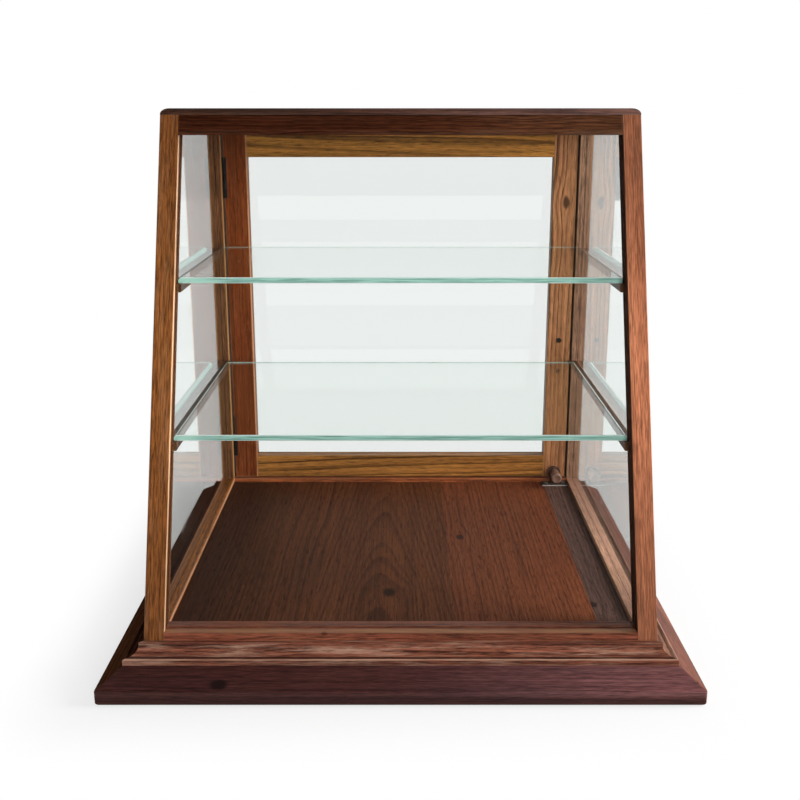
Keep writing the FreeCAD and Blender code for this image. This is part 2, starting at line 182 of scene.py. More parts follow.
edge_outer, edge_inner = 0.0002, 0.0022
side_outer, side_inner = 0.0001, 0.0004
inside = steps(grain, "SUBTRACT", takes["Half Size"], steps(grain, "ABSOLUTE", board))
inside = shade(grain, "SeparateXYZ", {0: inside}).outputs
least = maths(grain, "MINIMUM", inside[1], inside[2])
most = maths(grain, "MAXIMUM", inside[1], inside[2])
to_edge = maths(grain, "MAXIMUM", least, maths(grain, "MINIMUM", most, inside[0]))
worn_and_lit_edges = maths(grain, "MULTIPLY", ramp(grain, to_edge, edge_inner, edge_outer), ramp(grain, scuff, 0.3, 0.6))
worn_and_lit_edges = maths(grain, "MULTIPLY", worn_and_lit_edges, takes["Edge Wear And Highlight"])
# Painted shade along one side of a board, where it faces a gap or a return in shade.
to_side = maths(grain, "SUBTRACT", shade(grain, "SeparateXYZ", {0: takes["Half Size"]}).outputs[1],
                maths(grain, "MULTIPLY", across_board, takes["Shade Side"]))
side_shade = maths(grain, "MULTIPLY", ramp(grain, to_side, side_inner, side_outer), takes["Side Shade Amount"])


def along_line(line, radius):
    """A mask along a line that runs the length of the board, such as painted shade in a quirk or a painted
    highlight along an arris.
    """
    beside_line = steps(grain, "MULTIPLY", steps(grain, "SUBTRACT", board, takes[line]), (0, 1, 1))
    away = steps(grain, "LENGTH", beside_line)
    away = maths(grain, "DIVIDE", away, maths(grain, "ADD", takes[radius], never_zero))
    return ramp(grain, away, 1, 0.45)


# A painted highlight along one line, and a darker line: painted shade in quirks and returns, and a darker
# band along the plinth's foot.
highlight_line = maths(grain, "MULTIPLY", along_line("Highlight Line", "Highlight Radius"), ramp(grain, scuff, 0.3, 0.6, 0.3, 1))
dark_line = maths(grain, "MULTIPLY", along_line("Dark Line", "Dark Radius"), takes["Dark Amount"])

# A patch whose colour is multiplied: painted light or sheen on most boards, and a plain change of tone on the
# left stile and two floor boards.
patch_gain = steps(grain, "DIVIDE", steps(grain, "SUBTRACT", board, takes["Patch Place"]), takes["Patch Size"])
patch_gain = maths(grain, "MULTIPLY", maths(grain, "POWER", steps(grain, "LENGTH", patch_gain), 2), -1)
patch_gain = maths(grain, "MULTIPLY", maths(grain, "EXPONENT", patch_gain), takes["Patch Gain"])
patch_gain = shade(grain, "CombineXYZ", {0: patch_gain, 1: patch_gain, 2: patch_gain}).outputs[0]
patch_gain = steps(grain, "MULTIPLY_ADD", patch_gain, takes["Patch Tint"], (1, 1, 1))
light = maths(grain, "MULTIPLY_ADD", ramp(grain, fibre, 0.35, 0.65, -0.5, 0.5), takes["Fibre"], 1)
light = maths(grain, "MULTIPLY_ADD", ramp(grain, streak, 0.35, 0.65, -0.5, 0.5), takes["Streak"], light)

colour = mixed(grain, maths(grain, "MULTIPLY", cloud, 0.7), takes["Early Wood"], takes["Cast"])
colour = mixed(grain, maths(grain, "MULTIPLY", late, takes["Figure"]), colour, takes["Late Wood"])
colour = mixed(grain, maths(grain, "MULTIPLY", dashes, takes["Dashes"]), colour, takes["Pore And Shade"])
light = shade(grain, "CombineColor", {0: light, 1: light, 2: light}).outputs[0]
colour = mixed(grain, 1, colour, light, "MULTIPLY")
for mask in (worn, worn_and_lit_edges, highlight_line):
    colour = mixed(grain, mask, colour, takes["Wear And Highlight"])
colour = mixed(grain, 1, colour, patch_gain, "MULTIPLY")
# The pore colour also carries the painted shade of the dark lines and sides, and the knots.
for mask in (dark_line, side_shade, maths(grain, "MULTIPLY", knot, knot_darkness)):
    colour = mixed(grain, mask, colour, takes["Pore And Shade"])
grain.links.new(colour, gives["Color"])
sheen = maths(grain, "MULTIPLY_ADD", fibre, 0.15, maths(grain, "MULTIPLY_ADD", scuff, 0.2, takes["Gloss"]))
sheen = maths(grain, "MULTIPLY_ADD", maths(grain, "MAXIMUM", dark_line, side_shade), 0.5, sheen)
grain.links.new(maths(grain, "MULTIPLY_ADD", dashes, 0.1, sheen), gives["Roughness"])
relief = maths(grain, "MULTIPLY_ADD", late, 0.25, maths(grain, "MULTIPLY", fibre, 0.5))
grain.links.new(maths(grain, "MULTIPLY_ADD", dashes, -0.4, relief), gives["Height"])


def new_material(name):
    """A new material, with its node tree and its surface node."""
    material = bpy.data.materials.new(name)
    material.use_nodes = True
    return material, material.node_tree, material.node_tree.nodes["Principled BSDF"]


def paint(node, material):
    """Give a CAD node its material."""
    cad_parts[node].material_slots[0].material = material


grain_relief, grain_depth = 0.4, 0.0005


def dress_board(name, along, face, finish, half=None, knot=None, **cut):
    """Give one board its own cut of a finish, with the grain along it and its show side facing face."""
    low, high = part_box(name)
    turn = Matrix((along, face.cross(along), face))
    middle = (low + high) / 2
    material, tree, surface = new_material(name)
    place = shade(tree, "TexCoord").outputs["Object"]
    turning = {"Vector": place, "Rotation": turn.to_euler(), "Location": -(turn @ middle)}
    half = half or Vector(map(abs, turn @ (high - low))) / 2
    values = {"Half Size": half, **finish, **cut}
    if knot:
        values["Knot"] = turn @ (knot - middle)
    surface.inputs["Specular IOR Level"].default_value = values.pop("Shine", 0.3)
    values["Board"] = shade(tree, "Mapping", turning).outputs[0]
    cut_grain = shade(tree, "Group", values, node_tree=grain)
    tree.links.new(cut_grain.outputs["Color"], surface.inputs["Base Color"])
    tree.links.new(cut_grain.outputs["Roughness"], surface.inputs["Roughness"])
    sockets = {"Height": cut_grain.outputs["Height"], "Strength": grain_relief, "Distance": grain_depth}
    relief = shade(tree, "Bump", sockets)
    tree.links.new(relief.outputs[0], surface.inputs["Normal"])
    paint(name, material)
    return material


dark_wax = {"Early Wood": tone("40211c"), "Late Wood": tone("1e0f0e"), "Cast": tone("341c1b"),
            "Pore And Shade": tone("120a0a"), "Wear And Highlight": tone("6e483c"), "Wear Amount": 0.08, "Ring Width": 0.0038,
            "Figure": 0.6, "Streak": 0.35, "Fibre": 0.6, "Dashes": 0.3, "Wander": 0.008, "Taper": 0.012,
            "Gloss": 0.3, "Shine": 0.15}
plinth_slope = Vector((0, -15, 22.5)).normalized()
# The front board's right end is lighter and greyer as a painted sheen, and a darker band runs along its foot.
dress_board("plinth_front", right, plinth_slope, dark_wax, knot=Vector((-0.169, -0.271, 0.018)),
            **{"Knot Radius": 0.006, "Trunk": (0.1, 0.09, 0.02), "Patch Gain": 1.9,
               "Patch Tint": (0.9, 1.3, 1.75), "Patch Place": (0.25, 0, 0.022),
               "Patch Size": (0.18, 1, 0.006), "Dark Line": (0, -0.0395, 0.0125), "Dark Radius": 0.009,
               "Dark Amount": 0.35})
dress_board("plinth_back", right, up, dark_wax, Trunk=(0.5, -0.04, 0.05))
dress_board("plinth_left", back, up, dark_wax, Trunk=(0.9, 0.05, 0.04), Shine=0,
            **{"Early Wood": tone("55331f"), "Cast": tone("452819")})
# The right board is much lighter and oranger than the others, as painted light on the lamp side.
dress_board("plinth_right", back, up, dark_wax, Trunk=(1.3, -0.03, 0.07), Shine=0.1,
            **{"Early Wood": tone("834c38"), "Cast": tone("6c3c2d"), "Late Wood": tone("48251b")})
weld, cut_snap, slightly = 0.00001, 0.000001, 0.00005
flat, crease = math.radians(0.3), 0.5


def merged(node):
    """A copy of a CAD node's mesh, with its corners joined and its flat faces whole."""
    shape = bmesh.new()
    shape.from_mesh(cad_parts[node].data)
    bmesh.ops.remove_doubles(shape, verts=shape.verts, dist=weld)
    bmesh.ops.dissolve_limit(shape, angle_limit=flat, verts=shape.verts, edges=shape.edges)
    return shape


def soften(shape, broad):
    """Smooth the narrow faces of a rounded edge, and keep faces of a broad area flat."""
    shape.normal_update()
    for face in shape.faces:
        face.smooth = face.calc_area() < broad
    for edge in shape.edges:
        edge.smooth = edge.calc_face_angle(0) < crease and all(face.smooth for face in edge.link_faces)


def placed(name, shape, finishes):
    """Turn a bmesh into an object of the scene."""
    mesh = bpy.data.meshes.new(name)
    shape.to_mesh(mesh)
    shape.free()
    piece = bpy.data.objects.new(name, mesh)
    bpy.context.collection.objects.link(piece)
    for finish in finishes:
        mesh.materials.append(finish)
    return piece


def finished(name, shape, finishes, node, body):
    """Turn a bmesh into a piece that stands in for one node, if any, and moves with its body."""
    piece = placed(name, shape, finishes)
    if node:
        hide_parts(node)
    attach(piece, body)


cad_foot_round, worn_foot_round, corner_round = 0.0015, 0.0025, 0.0032
foot_wear = worn_foot_round / cad_foot_round
corner_cuts = (0.45, 0.65, 1)
corner_at_mitre = (1 - math.sqrt(0.5)) * corner_round
slope_middle, broad_plinth_face = 0.02, 0.002
base_half = (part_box("plinth_front")[1].x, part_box("plinth_right")[1].y)
plinth_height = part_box("plinth_front")[1].z
for name, along, across, side in (("plinth_front", 0, 1, -1), ("plinth_back", 0, 1, 1),
                                  ("plinth_left", 1, 0, -1), ("plinth_right", 1, 0, 1)):
    worn_board = merged(name)
    for end in (-1, 1):
        for share in corner_cuts:
            spot, facing = Vector(), Vector()
            spot[along] = end * (base_half[along] - share * corner_round)
            spot[across] = side * base_half[across]
            facing[along], facing[across] = end, -side
            whole = worn_board.verts[:] + worn_board.edges[:] + worn_board.faces[:]
            bmesh.ops.bisect_plane(worn_board, geom=whole, plane_co=spot, plane_no=facing, dist=cut_snap)
    for vert in worn_board.verts:
        end = math.copysign(1, vert.co[along])
        inward = base_half[across] - side * vert.co[across]
        past_mitre = base_half[along] - end * vert.co[along] - inward
        if max(inward, vert.co.z) < cad_foot_round + slightly:
            vert.co.z *= foot_wear
            inward *= foot_wear
        if inward < plinth_height and vert.co.z < slope_middle:
            worn_off = 0
            if past_mitre < corner_round:
                past_mitre = max(past_mitre, corner_at_mitre)
                worn_off = corner_round - math.sqrt(corner_round ** 2 - (corner_round - past_mitre) ** 2)
            vert.co[across] = side * (base_half[across] - inward - worn_off)
            vert.co[along] = end * (base_half[along] - inward - past_mitre)
    soften(worn_board, broad_plinth_face)
    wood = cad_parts[name].material_slots[0].material
    finished("rounded_" + name, worn_board, [wood], name, "case")

# Moulding: four lengths of reddish wood, planed to a fillet, a cove and a bead and mitred on the plinth.
# Handling has worn the wax pale in patches along the cove and the bead; a painted light band brightens the
# cove, a painted highlight runs along the bead's top, and painted shade lies in the quirk between the two.
worn_wax = {"Early Wood": tone("65392a"), "Late Wood": tone("2a1511"), "Cast": tone("532c21"),
            "Pore And Shade": tone("170a08"), "Wear And Highlight": tone("957260"), "Wear Amount": 0.75, "Ring Width": 0.0045,
            "Figure": 0.75, "Streak": 0.8, "Fibre": 0.9, "Wander": 0.006, "Taper": 0.01, "Edge Wear And Highlight": 0.3,
            "Gloss": 0.35, "Shine": 0.12, "Dark Line": (0, -0.0046, -0.0022), "Dark Radius": 0.0021,
            "Dark Amount": 0.7, "Highlight Line": (0, -0.0078, -0.0025), "Highlight Radius": 0.0012,
            "Patch Gain": 0.7, "Patch Tint": (0.95, 1.12, 1.15), "Patch Place": (0, 0, 0.002),
            "Patch Size": (10, 10, 0.0048)}
moulding_runs = {"moulding_front": right, "moulding_right": back,
                 "moulding_back": -right, "moulding_left": -back}
# The right length is a little lighter, with less painted shade in its quirk, as painted light on the lit
# side; the left length is much darker and plainer, as painted shade.
moulding_cast = {
    "moulding_front": {"knot": Vector((0.2405, -0.2491, 0.0395)), "Knot Radius": 0.0012},
    "moulding_right": {"Early Wood": tone("6d4735"), "Late Wood": tone("3e2218"), "Cast": tone("5e3b2c"),
                       "Wear And Highlight": tone("967360"), "Dark Amount": 0.3},
    "moulding_left": {"Early Wood": tone("3a2015"), "Late Wood": tone("1c0d08"), "Cast": tone("301a11"),
                      "Wear And Highlight": tone("4a3024"), "Wear Amount": 0.2, "Edge Wear And Highlight": 0, "Patch Gain": 0.1, "Shine": 0}}
for number, (name, along) in enumerate(moulding_runs.items()):
    dress_board(name, along, up, worn_wax, Trunk=(0.35 * number, 0.08, 0.02), **moulding_cast.get(name, {}))

# Floor: three wide planks and a narrow greyish strip of old pine, laid front to back inside the frame.
# They are stained dark brown and polished; the middle plank has arched figure, all but the left one a knot.
floor_stain = {"Early Wood": tone("68391f"), "Late Wood": tone("391c0f"), "Cast": tone("572f1b"),
               "Pore And Shade": tone("1c100b"), "Wear And Highlight": tone("7d553c"), "Wear Amount": 0.06, "Ring Width": 0.0045,
               "Figure": 0.7, "Streak": 0.4, "Fibre": 0.5, "Wander": 0.012, "Edge Wear And Highlight": 0.0, "Gloss": 0.4,
               "Shine": 0.08}
dress_board("floor_board_1", back, up, floor_stain, Trunk=(0.3, 0.09, 0.05),
            **{"Patch Gain": -0.62, "Patch Place": (0, 0.07, 0), "Patch Size": (1, 0.09, 1)})
dress_board("floor_board_2", back, up, floor_stain, knot=Vector((-0.012, -0.1336, 0.0472)),
            **{"Trunk": (0.7, -0.004, 0.03), "Taper": 0.07, "Knot Radius": 0.008})
dress_board("floor_board_3", back, up, floor_stain, knot=Vector((0.0702, 0.0168, 0.0472)),
            **{"Trunk": (1.1, -0.11, 0.05), "Knot Radius": 0.005, "Early Wood": tone("773f26"),
               "Cast": tone("693620"), "Late Wood": tone("422113"), "Patch Gain": 0.25,
               "Patch Place": (0, -0.06, 0), "Patch Size": (1, 0.04, 1)})
dress_board("floor_board_4", back, up, floor_stain, knot=Vector((0.197, -0.163, 0.0472)),
            **{"Trunk": (1.6, 0.06, 0.02), "Knot Radius": 0.004, "Early Wood": tone("6b4d43"),
               "Late Wood": tone("402c29"), "Cast": tone("5c433d")})

# Leaning front frame: two stiles of mixed old timber with two rails set between them, grooved for the glass.
# The left stile is golden, the right one and the bottom rail reddish, and the top rail nearly black-brown.
stile_low, stile_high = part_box("front_left_stile")
top_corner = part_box("top_board")[0]
lean = math.atan2(top_corner.y - stile_low.y, top_corner.z - stile_low.z)
up_slope = Vector((0, math.sin(lean), math.cos(lean)))
slope_face = Vector((0, -math.cos(lean), math.sin(lean)))
frame_half_depth = 0.012
stile_half = Vector(((stile_high.z - stile_low.z) / 2 / math.cos(lean), (stile_high.x - stile_low.x) / 2,
                     frame_half_depth))
golden = {"Early Wood": tone("7b4c25"), "Late Wood": tone("41230f"), "Cast": tone("693f1d"),
          "Pore And Shade": tone("32190a"), "Wear And Highlight": tone("c89a62"), "Wear Amount": 0.06, "Ring Width": 0.0042,
          "Figure": 0.6, "Streak": 0.4, "Fibre": 0.9, "Dashes": 0.45, "Dash Cells": (90, 700, 700),
          "Wander": 0.005, "Taper": 0.006, "Gloss": 0.25, "Shine": 0.2}
reddish = {**golden, "Early Wood": tone("835138"), "Late Wood": tone("4f2a1b"), "Cast": tone("6d402c"),
           "Pore And Shade": tone("40200f"), "Wear And Highlight": tone("c9936d"), "Figure": 0.45, "Streak": 0.3}
# A painted highlight lines the left stile's inner return in front of the glass, and painted shade darkens the
# return behind it.
dress_board("front_left_stile", up_slope, slope_face, golden, stile_half,
            **{"Early Wood": tone("724421"), "Late Wood": tone("3d200e"), "Cast": tone("62391a"),
               "Pore And Shade": tone("4a2412"), "Wear And Highlight": tone("e8bf98"), "Streak": 0.3, "Trunk": (0.2, 0.08, 0.015),
               "Edge Wear And Highlight": 0, "Highlight Line": (0, -0.0095, 0.0085), "Highlight Radius": 0.0032,
               "Dark Line": (0, -0.0125, -0.0045), "Dark Radius": 0.0085, "Patch Gain": 0.55,
               "Patch Tint": (1, 1, 0.8), "Patch Place": (0.01, 0, 0), "Patch Size": (0.13, 1, 1)})
# The right stile is lighter in the middle as a painted highlight, and painted shade darkens its inner return.
dress_board("front_right_stile", up_slope, slope_face, reddish, stile_half,
            **{"Trunk": (1.4, -0.08, 0.015), "Dashes": 0.1, "Fibre": 0.75, "Pore And Shade": tone("240d07"),
               "Shade Side": 1, "Side Shade Amount": 0.85, "Edge Wear And Highlight": 0.05, "Patch Gain": 1.1,
               "Patch Place": (-0.01, 0, 0), "Patch Size": (0.15, 1, 1)})
dark_rail = {"Early Wood": tone("3c1c0e"), "Late Wood": tone("120604"), "Cast": tone("2e150a"), "Shine": 0.06,
             "Pore And Shade": tone("120805"), "Wear And Highlight": tone("6b4a38"), "Wear Amount": 0.05, "Ring Width": 0.0034,
             "Figure": 0.95, "Streak": 0.5, "Fibre": 0.6, "Dashes": 0.4, "Wander": 0.011, "Sweep": 14,
             "Taper": 0.01, "Edge Wear And Highlight": 0.15}
rail_half = Vector((0.226, 0.0116, frame_half_depth))
# The top rail's right end is lighter and greyer as painted light.
dress_board("front_top_rail", right, slope_face, dark_rail, rail_half,
            **{"Trunk": (0.6, 0.07, 0.02), "Patch Gain": 1.1, "Patch Tint": (0.8, 1.5, 1.8),
               "Patch Place": (0.22, 0, 0), "Patch Size": (0.15, 1, 1)})
rail_knot = Vector((-0.073, -0.2356, 0.0518))
# A painted highlight runs along the bottom rail's top edge in front of the glass.
dress_board("front_bottom_rail", right, slope_face, reddish, rail_half, knot=rail_knot,
            **{"Early Wood": tone("743f2d"), "Late Wood": tone("401d13"), "Cast": tone("633223"),
               "Wear And Highlight": tone("94694a"), "Wear Amount": 0.15, "Edge Wear And Highlight": 0.1, "Streak": 0.8,
               "Knot Radius": 0.002, "Trunk": (0.8, 0.07, 0.02), "Highlight Line": (0, 0.0105, 0.0080),
               "Highlight Radius": 0.0055})

# Side and rear frame: rails along the sides, two rear posts and the rails between them, grooved or rebated.
# They are fitted together and varnished like the front, and the wood turns from orange to greyish brown.
orange = {**golden, "Early Wood": tone("965828"), "Late Wood": tone("522d13"), "Cast": tone("7e4821"),
          "Shine": 0.08}
pinkish = {**golden, "Early Wood": tone("a97b68"), "Late Wood": tone("80594a"), "Cast": tone("9a6f5d"),
           "Pore And Shade": tone("6e4a38"), "Dashes": 0.08, "Streak": 0.3, "Fibre": 0.55, "Shine": 0.1}
# A painted highlight runs along the left rail's inner top edge.
dress_board("left_bottom_rail", back, right, orange,
            **{"Trunk": (0.4, 0.03, 0.04), "Wear And Highlight": tone("d89a76"), "Highlight Line": (0, 0.0095, 0.0097),
               "Highlight Radius": 0.0022})
# The right rail's pale colour and the lighter patch in its middle are painted light from the right.
dress_board("right_bottom_rail", back, -right, pinkish,
            **{"Trunk": (0.9, 0.03, 0.04), "Patch Gain": 1.25, "Patch Tint": (0.95, 1.05, 1.0),
               "Patch Place": (-0.03, -0.006, 0), "Patch Size": (0.12, 0.012, 1)})
dress_board("left_top_rail", back, right, golden, Trunk=(1.2, 0.03, 0.04))
dress_board("right_top_rail", back, -right, reddish, Trunk=(1.7, 0.03, 0.04))
post_brown = {**golden, "Early Wood": tone("74503a"), "Late Wood": tone("462d20"), "Cast": tone("63432f"),
              "Figure": 0.5}
post_low, post_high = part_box("left_back_post")
post_arris = (0, (post_low.x - post_high.x) / 2, (post_high.y - post_low.y) / 2)
# A painted highlight lines the left post's inner arris.
dress_board("left_back_post", up, -back, post_brown, Trunk=(0.1, 0.07, 0.02),
            **{"Early Wood": tone("7a4d30"), "Late Wood": tone("4a2c1a"), "Cast": tone("6a4229"),
               "Wear And Highlight": tone("bd8450"), "Highlight Line": post_arris, "Highlight Radius": 0.0018})
# Painted shade darkens the right post's side that faces the door.
dress_board("right_back_post", up, -back, post_brown, Trunk=(0.7, -0.07, 0.02),
            **{"Early Wood": tone("98715a"), "Cast": tone("805c49"), "Figure": 0.35, "Shade Side": 1})
dress_board("back_sill", right, up, reddish, Trunk=(0.2, 0.03, 0.05),
            **{"Early Wood": tone("a1552f"), "Cast": tone("854426")})
dress_board("back_top_rail", right, -back, golden, Trunk=(1.5, 0.03, 0.05))

# Top: one thin board with rounded edges, its two ends rounder than its front, laid flat on the frames.
# It is a dark greyish brown, with a little dust-grey wear on top; its right end is lighter and greyer as a
# painted sheen.
top_wax = {"Early Wood": tone("44281b"), "Late Wood": tone("251611"), "Cast": tone("3a241b"),
           "Pore And Shade": tone("1b110e"), "Wear And Highlight": tone("7d685a"), "Wear Amount": 0.05, "Edge Wear And Highlight": 0.05,
           "Ring Width": 0.005, "Figure": 0.75, "Streak": 0.5, "Fibre": 0.6, "Wander": 0.01, "Taper": 0.02,
           "Gloss": 0.35, "Shine": 0.15}
top_wood = dress_board("top_board", right, up, top_wax,
                       **{"Trunk": (0.3, 0.1, 0.03), "Patch Gain": 1.4, "Patch Tint": (0.9, 1.3, 2),
                          "Patch Place": (0.24, 0, 0), "Patch Size": (0.22, 1, 1)})
edge_round, end_round, broad_top_face = 0.006, 0.009, 0.01
top_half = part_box("top_board")[1].x
top = merged("top_board")
for side in (-1, 1):
    ends = [vert for vert in top.verts if side * vert.co.x > top_half - edge_round - slightly]
    rim = Matrix.Translation((-side * top_half, 0, 0))
    bmesh.ops.scale(top, vec=(end_round / edge_round, 1, 1), space=rim, verts=ends)
soften(top, broad_top_face)
finished("rounded_top", top, [top_wood], "top_board", "case")

# Panes: clear float glass, in grooves in the front and the sides and in a rebate in the door, wiped by hand.
# Light passes straight in to the shelves, and the surface keeps faint wiping marks in its gloss.
wiped_glass, takes, gives = effect("wiped_glass", [("Place", "Vector", (0, 0, 0))], [("Roughness", "Float")])
wipe_cells, grind_cells = (9, 9, 30), (22, 22, 700)
clean, smeared = 0.004, 0.05
wipes = noise(wiped_glass, takes["Place"], wipe_cells, 4, 0.6).outputs[0]
wiped_glass.links.new(ramp(wiped_glass, wipes, 0.5, 0.8, clean, smeared), gives["Roughness"])
lit_left_from, lit_left_full = -0.17, -0.22


def glass_finish(name, colour, transmission, roughness=None, streak=None, painted_glow=0):
    """Glass that lets lamp light and soft light straight through, and bends what is seen through it; its
    streak colour marks ground streaks and painted light towards the left end, and its glow is painted light.
    """
    material, tree, surface = new_material(name)
    surface.inputs["Base Color"].default_value = colour
    surface.inputs["Transmission Weight"].default_value = transmission
    surface.inputs["IOR"].default_value = 1.5
    surface.inputs["Emission Color"].default_value = colour
    surface.inputs["Emission Strength"].default_value = painted_glow
    place = shade(tree, "TexCoord").outputs["Object"]
    if roughness is None:
        wiped = shade(tree, "Group", {"Place": place}, node_tree=wiped_glass)
        tree.links.new(wiped.outputs["Roughness"], surface.inputs["Roughness"])
    else:
        surface.inputs["Roughness"].default_value = roughness
    # Ground streaks, and painted light that brightens the colour towards the left end.
    if streak:
        ground = noise(tree, place, grind_cells, 3, 0.6).outputs[0]
        lit_at_left = ramp(tree, shade(tree, "SeparateXYZ", {0: place}).outputs[0], lit_left_from, lit_left_full)
        ground_and_lit = maths(tree, "MAXIMUM", ramp(tree, ground, 0.35, 0.65), lit_at_left)
        tree.links.new(mixed(tree, ground_and_lit, colour, streak), surface.inputs["Base Color"])
    path = shade(tree, "LightPath").outputs
    passes = maths(tree, "MAXIMUM", path["Is Shadow Ray"], path["Is Diffuse Ray"])
    open_way = shade(tree, "BsdfTransparent", {"Color": colour}).outputs[0]
    both = shade(tree, "MixShader", {0: passes, 1: surface.outputs[0], 2: open_way}).outputs[0]
    tree.links.new(both, tree.nodes["Material Output"].inputs["Surface"])
    return material


pane_finish = glass_finish("pane_glass", tone("fbfdfc"), 1)
for name in ("front_glass", "left_glass", "right_glass", "door_glass"):
    paint(name, pane_finish)

# Ledges: four battens fixed along the side panes, which carry the shelves at both ends.
# They are offcuts of the frame's brown wood, notched round the front stiles.
ledge_brown = {**golden, "Early Wood": tone("5c3a26"), "Late Wood": tone("331d12"), "Cast": tone("4a2d1c"),
               "Edge Wear And Highlight": 0.1}
for number, place in enumerate(("lower_left", "lower_right", "upper_left", "upper_right")):
    dress_board(place + "_ledge", back, up, ledge_brown, Trunk=(number / 3, 0.02, 0.03))

# Shelves: two loose sheets of 6 mm float glass with ground and polished edges, laid on the ledges.
# The faces are clear and the edges show the glass's own turquoise; painted light brightens them towards the
# left end, which glows, painted shade darkens the right end, and the arrises carry a painted highlight.
shelf_bevel, end_bevel = 0.0007, 0.0022
squarely, mostly = 0.99, 0.6
shelf_clear = glass_finish("shelf_faces", tone("f7fcfa"), 1)
shelf_edge = glass_finish("shelf_edges", tone("78a699"), 0.3, 0.15, tone("b4e0d3"))
shelf_arris_highlight = glass_finish("shelf_arrises_painted_highlight", tone("d8eee8"), 0.2, 0.1, tone("f0fbf8"))
shelf_end_painted_glow = glass_finish("shelf_ends_painted_glow", tone("9ad8ca"), 0.3, 0.15, tone("bdeae0"), 0.45)
shelf_end_painted_shade = glass_finish("shelf_ends_painted_shade", tone("54756d"), 0.3, 0.15, tone("6f928a"))
shelf_finishes = [shelf_clear, shelf_edge, shelf_arris_highlight, shelf_end_painted_glow, shelf_end_painted_shade]


def block(low, high):
    """A plain box between two corners."""
    shape = bmesh.new()
    bmesh.ops.create_cube(shape, size=1)
    bmesh.ops.scale(shape, vec=high - low, verts=shape.verts)
    bmesh.ops.translate(shape, vec=(low + high) / 2, verts=shape.verts)
    return shape


def bevel(shape, edges, width, cuts=1):
    """Take edges off, flat or in several cuts."""
    bmesh.ops.bevel(shape, geom=edges, offset=width, affect="EDGES", segments=cuts, profile=0.5, material=-1)


for name in ("lower_shelf", "upper_shelf"):
    low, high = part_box(name)
    sheet = block(low, high)
    top_edges = [edge for edge in sheet.edges if all(vert.co.z > (low.z + high.z) / 2 for vert in edge.verts)]
    end_edges = [edge for edge in top_edges if edge.verts[0].co.x == edge.verts[1].co.x]
    bevel(sheet, end_edges, end_bevel)
    bevel(sheet, sheet.edges[:], shelf_bevel)
    for face in sheet.faces:
        facing = [share for share in face.normal if abs(share) > squarely]
        face.material_index = 2 if not facing else 0 if facing[0] == face.normal.z else 1
        if abs(face.normal.x) > mostly:
            face.material_index = 3 if face.normal.x < 0 else 4
    finished(name + "_glass", sheet, shelf_finishes, name, "case")

# Rear door: two stiles and two rails joined round a pane, which mitred beads hold from behind.
# The rails are golden with bold figure, the hinge stile smooth and red, the latch stile lively with a knot.
ochre = {"Early Wood": tone("b07236"), "Late Wood": tone("3c200b"), "Cast": tone("95602e"),
         "Pore And Shade": tone("2a180a"), "Wear And Highlight": tone("b48850"), "Wear Amount": 0.06, "Ring Width": 0.0095,
         "Figure": 1, "Streak": 0.5, "Fibre": 0.6, "Dashes": 0.45, "Wander": 0.012, "Taper": 0.035}
red_stile = {**ochre, "Early Wood": tone("803d19"), "Late Wood": tone("4a220e"), "Cast": tone("6c3214"),
             "Figure": 0.5, "Ring Width": 0.005, "Taper": 0.006, "Wander": 0.006, "Streak": 0.4,
             "Shine": 0.15}
lively = {**ochre, "Early Wood": tone("bd8055"), "Late Wood": tone("552c17"), "Cast": tone("a06742"),
          "Ring Width": 0.006, "Taper": 0.014, "Wander": 0.012, "Streak": 0.35, "Fibre": 0.5}
# Painted shade darkens each door member's outer edge, where it faces the gap to the frame.
dress_board("door_top_rail", right, -back, ochre, Trunk=(0.1, 0.06, 0.02),
            **{"Early Wood": tone("d18b3b"), "Cast": tone("a56a2b"), "Figure": 0.75, "Ring Width": 0.012,
               "Shade Side": 1})
dress_board("door_bottom_rail", right, -back, ochre, Trunk=(0.8, -0.06, 0.02), **{"Shade Side": -1})
hinge_low, hinge_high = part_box("door_left_stile")
hinge_stile_arris = (0, (hinge_low.x - hinge_high.x) / 2, (hinge_high.y - hinge_low.y) / 2)
# A painted highlight lines the hinge stile's inner arris.
dress_board("door_left_stile", up, -back, red_stile, Trunk=(0.3, 0.07, 0.02),
            **{"Shade Side": 1, "Wear And Highlight": tone("d8966e"), "Highlight Line": hinge_stile_arris, "Highlight Radius": 0.0019})
dress_board("door_right_stile", up, -back, lively, knot=Vector((0.2122, 0.218, 0.4229)),
            **{"Trunk": (1.2, 0.07, 0.02), "Knot Radius": 0.005, "Shade Side": -1})
for number, (side, along) in enumerate((("top", right), ("bottom", right), ("left", up), ("right", up))):
    dress_board("door_" + side + "_bead", along, back, ochre, Trunk=(0.45 * number, 0.02, 0.03))

# Hinges: two black butt hinges let into the post and the door's edge, each with a loose pin and sunk screws.
# The steel is lacquered black, satin, and a thin black sheet beside each door leaf is painted shade for the
# open recess there.
lacquer, takes, gives = effect(
    "worn_lacquer", [("Place", "Vector", (0, 0, 0)), ("Coat", "Color", (0.02, 0.02, 0.02, 1)),
                     ("Bare", "Color", (0.3, 0.28, 0.26, 1)), ("Bare Amount", "Float", 0.3)],
    [("Color", "Color"), ("Roughness", "Float"), ("Metallic", "Float"), ("Height", "Float")])
grit_cells, patch_cells = (900, 900, 900), (120, 120, 120)
grit_relief, grit_depth = 0.2, 0.0001
grit = noise(lacquer, takes["Place"], grit_cells, 3, 0.6).outputs[0]
patches = noise(lacquer, takes["Place"], patch_cells, 4, 0.65).outputs[0]
bared = maths(lacquer, "MULTIPLY", ramp(lacquer, patches, 0.55, 0.7), takes["Bare Amount"])
lacquer.links.new(mixed(lacquer, bared, takes["Coat"], takes["Bare"]), gives["Color"])
